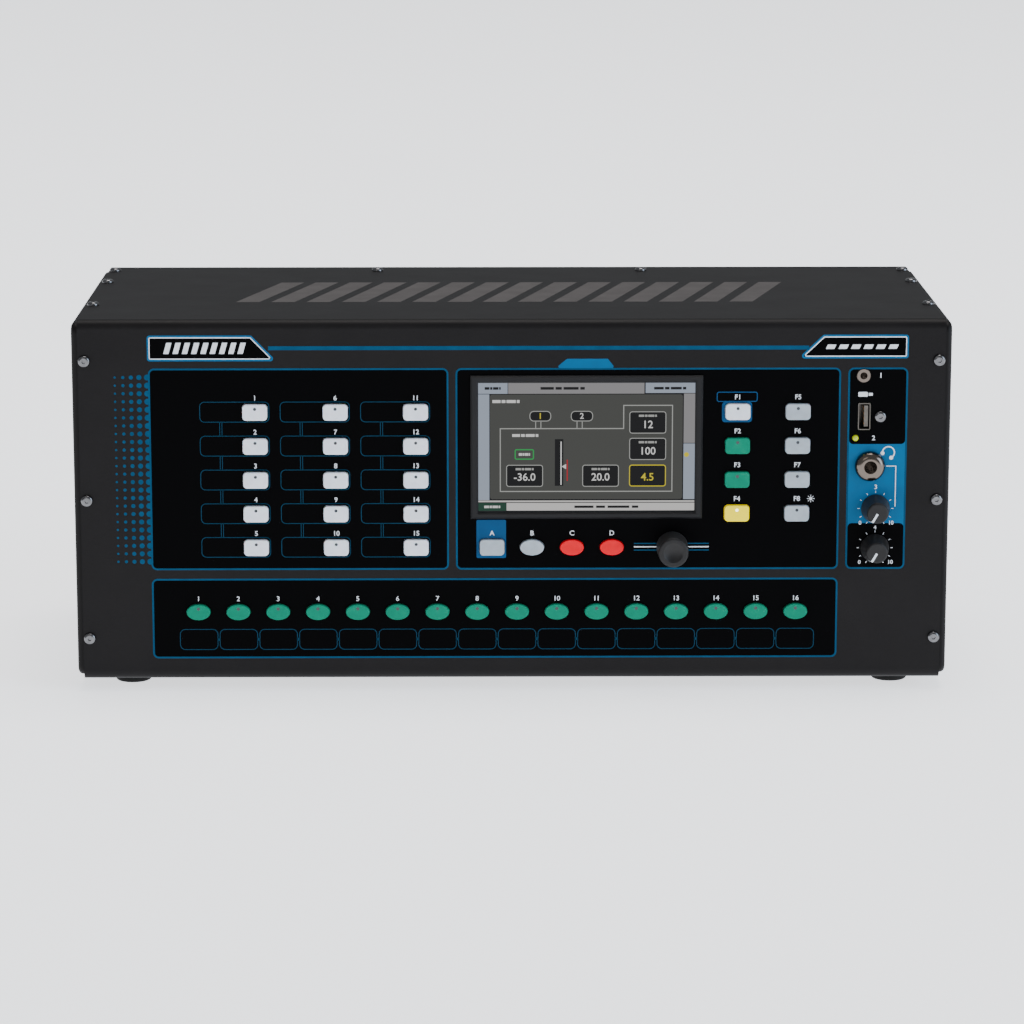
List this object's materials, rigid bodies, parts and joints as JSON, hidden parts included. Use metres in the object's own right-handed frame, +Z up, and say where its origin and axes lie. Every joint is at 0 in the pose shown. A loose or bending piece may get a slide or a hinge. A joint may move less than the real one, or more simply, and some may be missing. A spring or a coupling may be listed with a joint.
{
  "type": "digital mixing desk",
  "caption": "Compact free-standing digital mixing desk in a black steel case, with a touch display, push keys, a data wheel, level knobs and front and rear sockets.",
  "frame": {"origin": "on the table under the middle of the desk's overall box", "axes": "+X to the operator's right, +Y from the front panel to the rear panel, +Z up"},
  "size_m": [0.438, 0.2084, 0.1907],
  "materials": {
    "case_steel": "satin powder coat",
    "chassis_steel": "satin powder coat",
    "bezel_plastic": "moulded",
    "display_glass": "hard coat",
    "circuit_board": "solder mask",
    "socket_metal": "black chrome",
    "socket_body": "black chromate",
    "foot_rubber": "moulded",
    "screw_steel": "black oxide",
    "knob_plastic": "moulded",
    "key_white": "moulded",
    "key_green": "moulded",
    "key_grey": "moulded",
    "key_red": "moulded",
    "key_lit": "moulded, lit from inside"
  },
  "bodies": {
    "case": {"front_top_cover": "case_steel", "rear_floor_chassis": "chassis_steel", "end_plate_left": "case_steel", "end_plate_right": "case_steel", "screen_bezel": "bezel_plastic", "touch_display": "display_glass", "control_board": "circuit_board", "front_sockets": "socket_metal", "rear_sockets": "socket_body", "main_board": "circuit_board", "power_supply": "circuit_board", "rubber_feet": "foot_rubber", "case_screws": "screw_steel"},
    "soft_key_01": {"soft_key_01": "key_white"},
    "soft_key_02": {"soft_key_02": "key_white"},
    "soft_key_03": {"soft_key_03": "key_white"},
    "soft_key_04": {"soft_key_04": "key_white"},
    "soft_key_05": {"soft_key_05": "key_white"},
    "soft_key_06": {"soft_key_06": "key_white"},
    "soft_key_07": {"soft_key_07": "key_white"},
    "soft_key_08": {"soft_key_08": "key_white"},
    "soft_key_09": {"soft_key_09": "key_white"},
    "soft_key_10": {"soft_key_10": "key_white"},
    "soft_key_11": {"soft_key_11": "key_white"},
    "soft_key_12": {"soft_key_12": "key_white"},
    "soft_key_13": {"soft_key_13": "key_white"},
    "soft_key_14": {"soft_key_14": "key_white"},
    "soft_key_15": {"soft_key_15": "key_white"},
    "channel_key_01": {"channel_key_01": "key_green"},
    "channel_key_02": {"channel_key_02": "key_green"},
    "channel_key_03": {"channel_key_03": "key_green"},
    "channel_key_04": {"channel_key_04": "key_green"},
    "channel_key_05": {"channel_key_05": "key_green"},
    "channel_key_06": {"channel_key_06": "key_green"},
    "channel_key_07": {"channel_key_07": "key_green"},
    "channel_key_08": {"channel_key_08": "key_green"},
    "channel_key_09": {"channel_key_09": "key_green"},
    "channel_key_10": {"channel_key_10": "key_green"},
    "channel_key_11": {"channel_key_11": "key_green"},
    "channel_key_12": {"channel_key_12": "key_green"},
    "channel_key_13": {"channel_key_13": "key_green"},
    "channel_key_14": {"channel_key_14": "key_green"},
    "channel_key_15": {"channel_key_15": "key_green"},
    "channel_key_16": {"channel_key_16": "key_green"},
    "remote_key": {"remote_key": "key_white"},
    "processing_key": {"processing_key": "key_green"},
    "routing_key": {"routing_key": "key_green"},
    "channel_view_key": {"channel_view_key": "key_lit"},
    "home_key": {"home_key": "key_grey"},
    "effects_key": {"effects_key": "key_grey"},
    "scenes_key": {"scenes_key": "key_grey"},
    "setup_key": {"setup_key": "key_grey"},
    "fn_key": {"fn_key": "key_grey"},
    "copy_key": {"copy_key": "key_grey"},
    "paste_key": {"paste_key": "key_red"},
    "reset_key": {"reset_key": "key_red"},
    "data_wheel": {"data_wheel": "knob_plastic"},
    "phones_knob": {"phones_knob": "knob_plastic"},
    "alt_out_knob": {"alt_out_knob": "knob_plastic"},
    "mains_rocker": {"mains_rocker": "knob_plastic"}
  },
  "joints": [
    {"name": "soft_key_01_press", "type": "slide", "parent": "case", "child": "soft_key_01", "axis": [0, 1, 0], "range_m": [0, 0.001], "stiffness_N_per_m": 400, "springref_m": -0.002},
    {"name": "soft_key_02_press", "type": "slide", "parent": "case", "child": "soft_key_02", "axis": [0, 1, 0], "range_m": [0, 0.001], "stiffness_N_per_m": 400, "springref_m": -0.002},
    {"name": "soft_key_03_press", "type": "slide", "parent": "case", "child": "soft_key_03", "axis": [0, 1, 0], "range_m": [0, 0.001], "stiffness_N_per_m": 400, "springref_m": -0.002},
    {"name": "soft_key_04_press", "type": "slide", "parent": "case", "child": "soft_key_04", "axis": [0, 1, 0], "range_m": [0, 0.001], "stiffness_N_per_m": 400, "springref_m": -0.002},
    {"name": "soft_key_05_press", "type": "slide", "parent": "case", "child": "soft_key_05", "axis": [0, 1, 0], "range_m": [0, 0.001], "stiffness_N_per_m": 400, "springref_m": -0.002},
    {"name": "soft_key_06_press", "type": "slide", "parent": "case", "child": "soft_key_06", "axis": [0, 1, 0], "range_m": [0, 0.001], "stiffness_N_per_m": 400, "springref_m": -0.002},
    {"name": "soft_key_07_press", "type": "slide", "parent": "case", "child": "soft_key_07", "axis": [0, 1, 0], "range_m": [0, 0.001], "stiffness_N_per_m": 400, "springref_m": -0.002},
    {"name": "soft_key_08_press", "type": "slide", "parent": "case", "child": "soft_key_08", "axis": [0, 1, 0], "range_m": [0, 0.001], "stiffness_N_per_m": 400, "springref_m": -0.002},
    {"name": "soft_key_09_press", "type": "slide", "parent": "case", "child": "soft_key_09", "axis": [0, 1, 0], "range_m": [0, 0.001], "stiffness_N_per_m": 400, "springref_m": -0.002},
    {"name": "soft_key_10_press", "type": "slide", "parent": "case", "child": "soft_key_10", "axis": [0, 1, 0], "range_m": [0, 0.001], "stiffness_N_per_m": 400, "springref_m": -0.002},
    {"name": "soft_key_11_press", "type": "slide", "parent": "case", "child": "soft_key_11", "axis": [0, 1, 0], "range_m": [0, 0.001], "stiffness_N_per_m": 400, "springref_m": -0.002},
    {"name": "soft_key_12_press", "type": "slide", "parent": "case", "child": "soft_key_12", "axis": [0, 1, 0], "range_m": [0, 0.001], "stiffness_N_per_m": 400, "springref_m": -0.002},
    {"name": "soft_key_13_press", "type": "slide", "parent": "case", "child": "soft_key_13", "axis": [0, 1, 0], "range_m": [0, 0.001], "stiffness_N_per_m": 400, "springref_m": -0.002},
    {"name": "soft_key_14_press", "type": "slide", "parent": "case", "child": "soft_key_14", "axis": [0, 1, 0], "range_m": [0, 0.001], "stiffness_N_per_m": 400, "springref_m": -0.002},
    {"name": "soft_key_15_press", "type": "slide", "parent": "case", "child": "soft_key_15", "axis": [0, 1, 0], "range_m": [0, 0.001], "stiffness_N_per_m": 400, "springref_m": -0.002},
    {"name": "channel_key_01_press", "type": "slide", "parent": "case", "child": "channel_key_01", "axis": [0, 1, 0], "range_m": [0, 0.001], "stiffness_N_per_m": 400, "springref_m": -0.002},
    {"name": "channel_key_02_press", "type": "slide", "parent": "case", "child": "channel_key_02", "axis": [0, 1, 0], "range_m": [0, 0.001], "stiffness_N_per_m": 400, "springref_m": -0.002},
    {"name": "channel_key_03_press", "type": "slide", "parent": "case", "child": "channel_key_03", "axis": [0, 1, 0], "range_m": [0, 0.001], "stiffness_N_per_m": 400, "springref_m": -0.002},
    {"name": "channel_key_04_press", "type": "slide", "parent": "case", "child": "channel_key_04", "axis": [0, 1, 0], "range_m": [0, 0.001], "stiffness_N_per_m": 400, "springref_m": -0.002},
    {"name": "channel_key_05_press", "type": "slide", "parent": "case", "child": "channel_key_05", "axis": [0, 1, 0], "range_m": [0, 0.001], "stiffness_N_per_m": 400, "springref_m": -0.002},
    {"name": "channel_key_06_press", "type": "slide", "parent": "case", "child": "channel_key_06", "axis": [0, 1, 0], "range_m": [0, 0.001], "stiffness_N_per_m": 400, "springref_m": -0.002},
    {"name": "channel_key_07_press", "type": "slide", "parent": "case", "child": "channel_key_07", "axis": [0, 1, 0], "range_m": [0, 0.001], "stiffness_N_per_m": 400, "springref_m": -0.002},
    {"name": "channel_key_08_press", "type": "slide", "parent": "case", "child": "channel_key_08", "axis": [0, 1, 0], "range_m": [0, 0.001], "stiffness_N_per_m": 400, "springref_m": -0.002},
    {"name": "channel_key_09_press", "type": "slide", "parent": "case", "child": "channel_key_09", "axis": [0, 1, 0], "range_m": [0, 0.001], "stiffness_N_per_m": 400, "springref_m": -0.002},
    {"name": "channel_key_10_press", "type": "slide", "parent": "case", "child": "channel_key_10", "axis": [0, 1, 0], "range_m": [0, 0.001], "stiffness_N_per_m": 400, "springref_m": -0.002},
    {"name": "channel_key_11_press", "type": "slide", "parent": "case", "child": "channel_key_11", "axis": [0, 1, 0], "range_m": [0, 0.001], "stiffness_N_per_m": 400, "springref_m": -0.002},
    {"name": "channel_key_12_press", "type": "slide", "parent": "case", "child": "channel_key_12", "axis": [0, 1, 0], "range_m": [0, 0.001], "stiffness_N_per_m": 400, "springref_m": -0.002},
    {"name": "channel_key_13_press", "type": "slide", "parent": "case", "child": "channel_key_13", "axis": [0, 1, 0], "range_m": [0, 0.001], "stiffness_N_per_m": 400, "springref_m": -0.002},
    {"name": "channel_key_14_press", "type": "slide", "parent": "case", "child": "channel_key_14", "axis": [0, 1, 0], "range_m": [0, 0.001], "stiffness_N_per_m": 400, "springref_m": -0.002},
    {"name": "channel_key_15_press", "type": "slide", "parent": "case", "child": "channel_key_15", "axis": [0, 1, 0], "range_m": [0, 0.001], "stiffness_N_per_m": 400, "springref_m": -0.002},
    {"name": "channel_key_16_press", "type": "slide", "parent": "case", "child": "channel_key_16", "axis": [0, 1, 0], "range_m": [0, 0.001], "stiffness_N_per_m": 400, "springref_m": -0.002},
    {"name": "remote_key_press", "type": "slide", "parent": "case", "child": "remote_key", "axis": [0, 1, 0], "range_m": [0, 0.001], "stiffness_N_per_m": 400, "springref_m": -0.002},
    {"name": "processing_key_press", "type": "slide", "parent": "case", "child": "processing_key", "axis": [0, 1, 0], "range_m": [0, 0.001], "stiffness_N_per_m": 400, "springref_m": -0.002},
    {"name": "routing_key_press", "type": "slide", "parent": "case", "child": "routing_key", "axis": [0, 1, 0], "range_m": [0, 0.001], "stiffness_N_per_m": 400, "springref_m": -0.002},
    {"name": "channel_view_key_press", "type": "slide", "parent": "case", "child": "channel_view_key", "axis": [0, 1, 0], "range_m": [0, 0.001], "stiffness_N_per_m": 400, "springref_m": -0.002},
    {"name": "home_key_press", "type": "slide", "parent": "case", "child": "home_key", "axis": [0, 1, 0], "range_m": [0, 0.001], "stiffness_N_per_m": 400, "springref_m": -0.002},
    {"name": "effects_key_press", "type": "slide", "parent": "case", "child": "effects_key", "axis": [0, 1, 0], "range_m": [0, 0.001], "stiffness_N_per_m": 400, "springref_m": -0.002},
    {"name": "scenes_key_press", "type": "slide", "parent": "case", "child": "scenes_key", "axis": [0, 1, 0], "range_m": [0, 0.001], "stiffness_N_per_m": 400, "springref_m": -0.002},
    {"name": "setup_key_press", "type": "slide", "parent": "case", "child": "setup_key", "axis": [0, 1, 0], "range_m": [0, 0.001], "stiffness_N_per_m": 400, "springref_m": -0.002},
    {"name": "fn_key_press", "type": "slide", "parent": "case", "child": "fn_key", "axis": [0, 1, 0], "range_m": [0, 0.001], "stiffness_N_per_m": 400, "springref_m": -0.002},
    {"name": "copy_key_press", "type": "slide", "parent": "case", "child": "copy_key", "axis": [0, 1, 0], "range_m": [0, 0.001], "stiffness_N_per_m": 400, "springref_m": -0.002},
    {"name": "paste_key_press", "type": "slide", "parent": "case", "child": "paste_key", "axis": [0, 1, 0], "range_m": [0, 0.001], "stiffness_N_per_m": 400, "springref_m": -0.002},
    {"name": "reset_key_press", "type": "slide", "parent": "case", "child": "reset_key", "axis": [0, 1, 0], "range_m": [0, 0.001], "stiffness_N_per_m": 400, "springref_m": -0.002},
    {"name": "data_wheel_turn", "type": "hinge", "parent": "case", "child": "data_wheel", "pos_m": [0.0803, -0.08875, 0.074], "axis": [0, 1, 0], "continuous": true},
    {"name": "phones_knob_turn", "type": "hinge", "parent": "case", "child": "phones_knob", "pos_m": [0.182, -0.08875, 0.0934], "axis": [0, 1, 0], "range_deg": [0, 300]},
    {"name": "alt_out_knob_turn", "type": "hinge", "parent": "case", "child": "alt_out_knob", "pos_m": [0.182, -0.08875, 0.0733], "axis": [0, 1, 0], "range_deg": [0, 300]},
    {"name": "mains_rocker_tilt", "type": "hinge", "parent": "case", "child": "mains_rocker", "pos_m": [-0.124, 0.09625, 0.042], "axis": [-1, 0, 0], "range_deg": [0, 14]}
  ]
}
